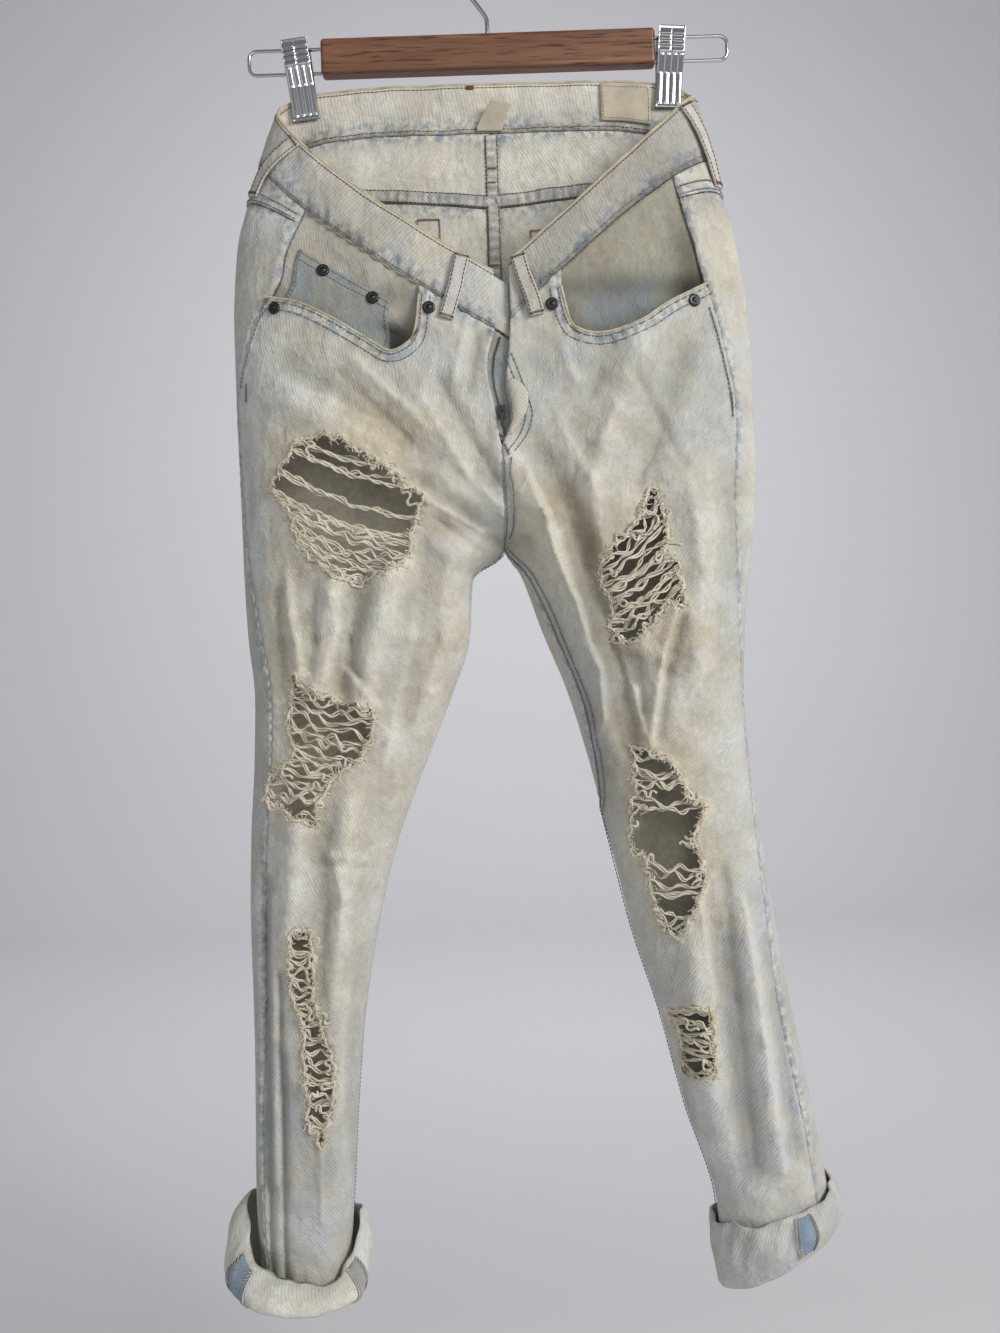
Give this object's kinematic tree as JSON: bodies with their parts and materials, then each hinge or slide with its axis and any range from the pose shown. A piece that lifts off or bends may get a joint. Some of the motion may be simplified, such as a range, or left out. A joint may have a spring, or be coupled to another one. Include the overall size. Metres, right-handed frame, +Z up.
{
  "type": "ripped jeans on a clip hanger",
  "caption": "Light worn ripped jeans with turned-up legs and an open fly, hung by the back of the waistband from the clips of a wooden hanger.",
  "frame": {"origin": "inner top of the hanger's hook, where it rests on a rail", "axes": "+Z up, +X to the viewer's right, the front of the jeans faces -Y"},
  "size_m": [0.4642, 0.1054, 1.0378],
  "materials": {
    "denim": "matte worn twill",
    "faded_denim": "matte twill",
    "cotton_tape": "matte",
    "dark_metal": "satin",
    "chrome": "polished",
    "wood": "varnished"
  },
  "bodies": {
    "jeans_and_hanger": {"back_panel_left": "denim", "back_panel_right": "denim", "back_pocket_left": "denim", "back_pocket_right": "denim", "belt_loop_back": "denim", "belt_loop_front_left": "denim", "belt_loop_front_right": "denim", "belt_loop_side_left": "denim", "belt_loop_side_right": "denim", "clip_left_back": "chrome", "clip_left_front": "chrome", "clip_left_spring": "chrome", "clip_right_back": "chrome", "clip_right_front": "chrome", "clip_right_spring": "chrome", "coin_pocket": "denim", "cuff_left": "denim", "cuff_right": "denim", "fly_shield": "faded_denim", "front_panel_left": "denim", "front_panel_right": "denim", "hanger_bar": "wood", "hook": "chrome", "label": "cotton_tape", "loop_tag": "cotton_tape", "pocket_facing_left": "faded_denim", "pocket_facing_right": "faded_denim", "rivet_coin_inner": "dark_metal", "rivet_coin_outer": "dark_metal", "rivet_left_front": "dark_metal", "rivet_left_side": "dark_metal", "rivet_right_front": "dark_metal", "rivet_right_side": "dark_metal", "waistband": "denim", "waistband_underlap": "denim", "wire_bow_left": "chrome", "wire_bow_right": "chrome", "yoke_left": "denim", "yoke_right": "denim", "zip_slider": "dark_metal", "zip_tape": "faded_denim"},
    "pull_tab": {"zip_pull_tab": "dark_metal"}
  },
  "joints": [
    {"name": "pull_tab_swing", "type": "hinge", "parent": "jeans_and_hanger", "child": "pull_tab", "pos_m": [0.0009, -0.07033, -0.3705], "axis": [-1, 0, 0], "range_deg": [0, 150]}
  ]
}
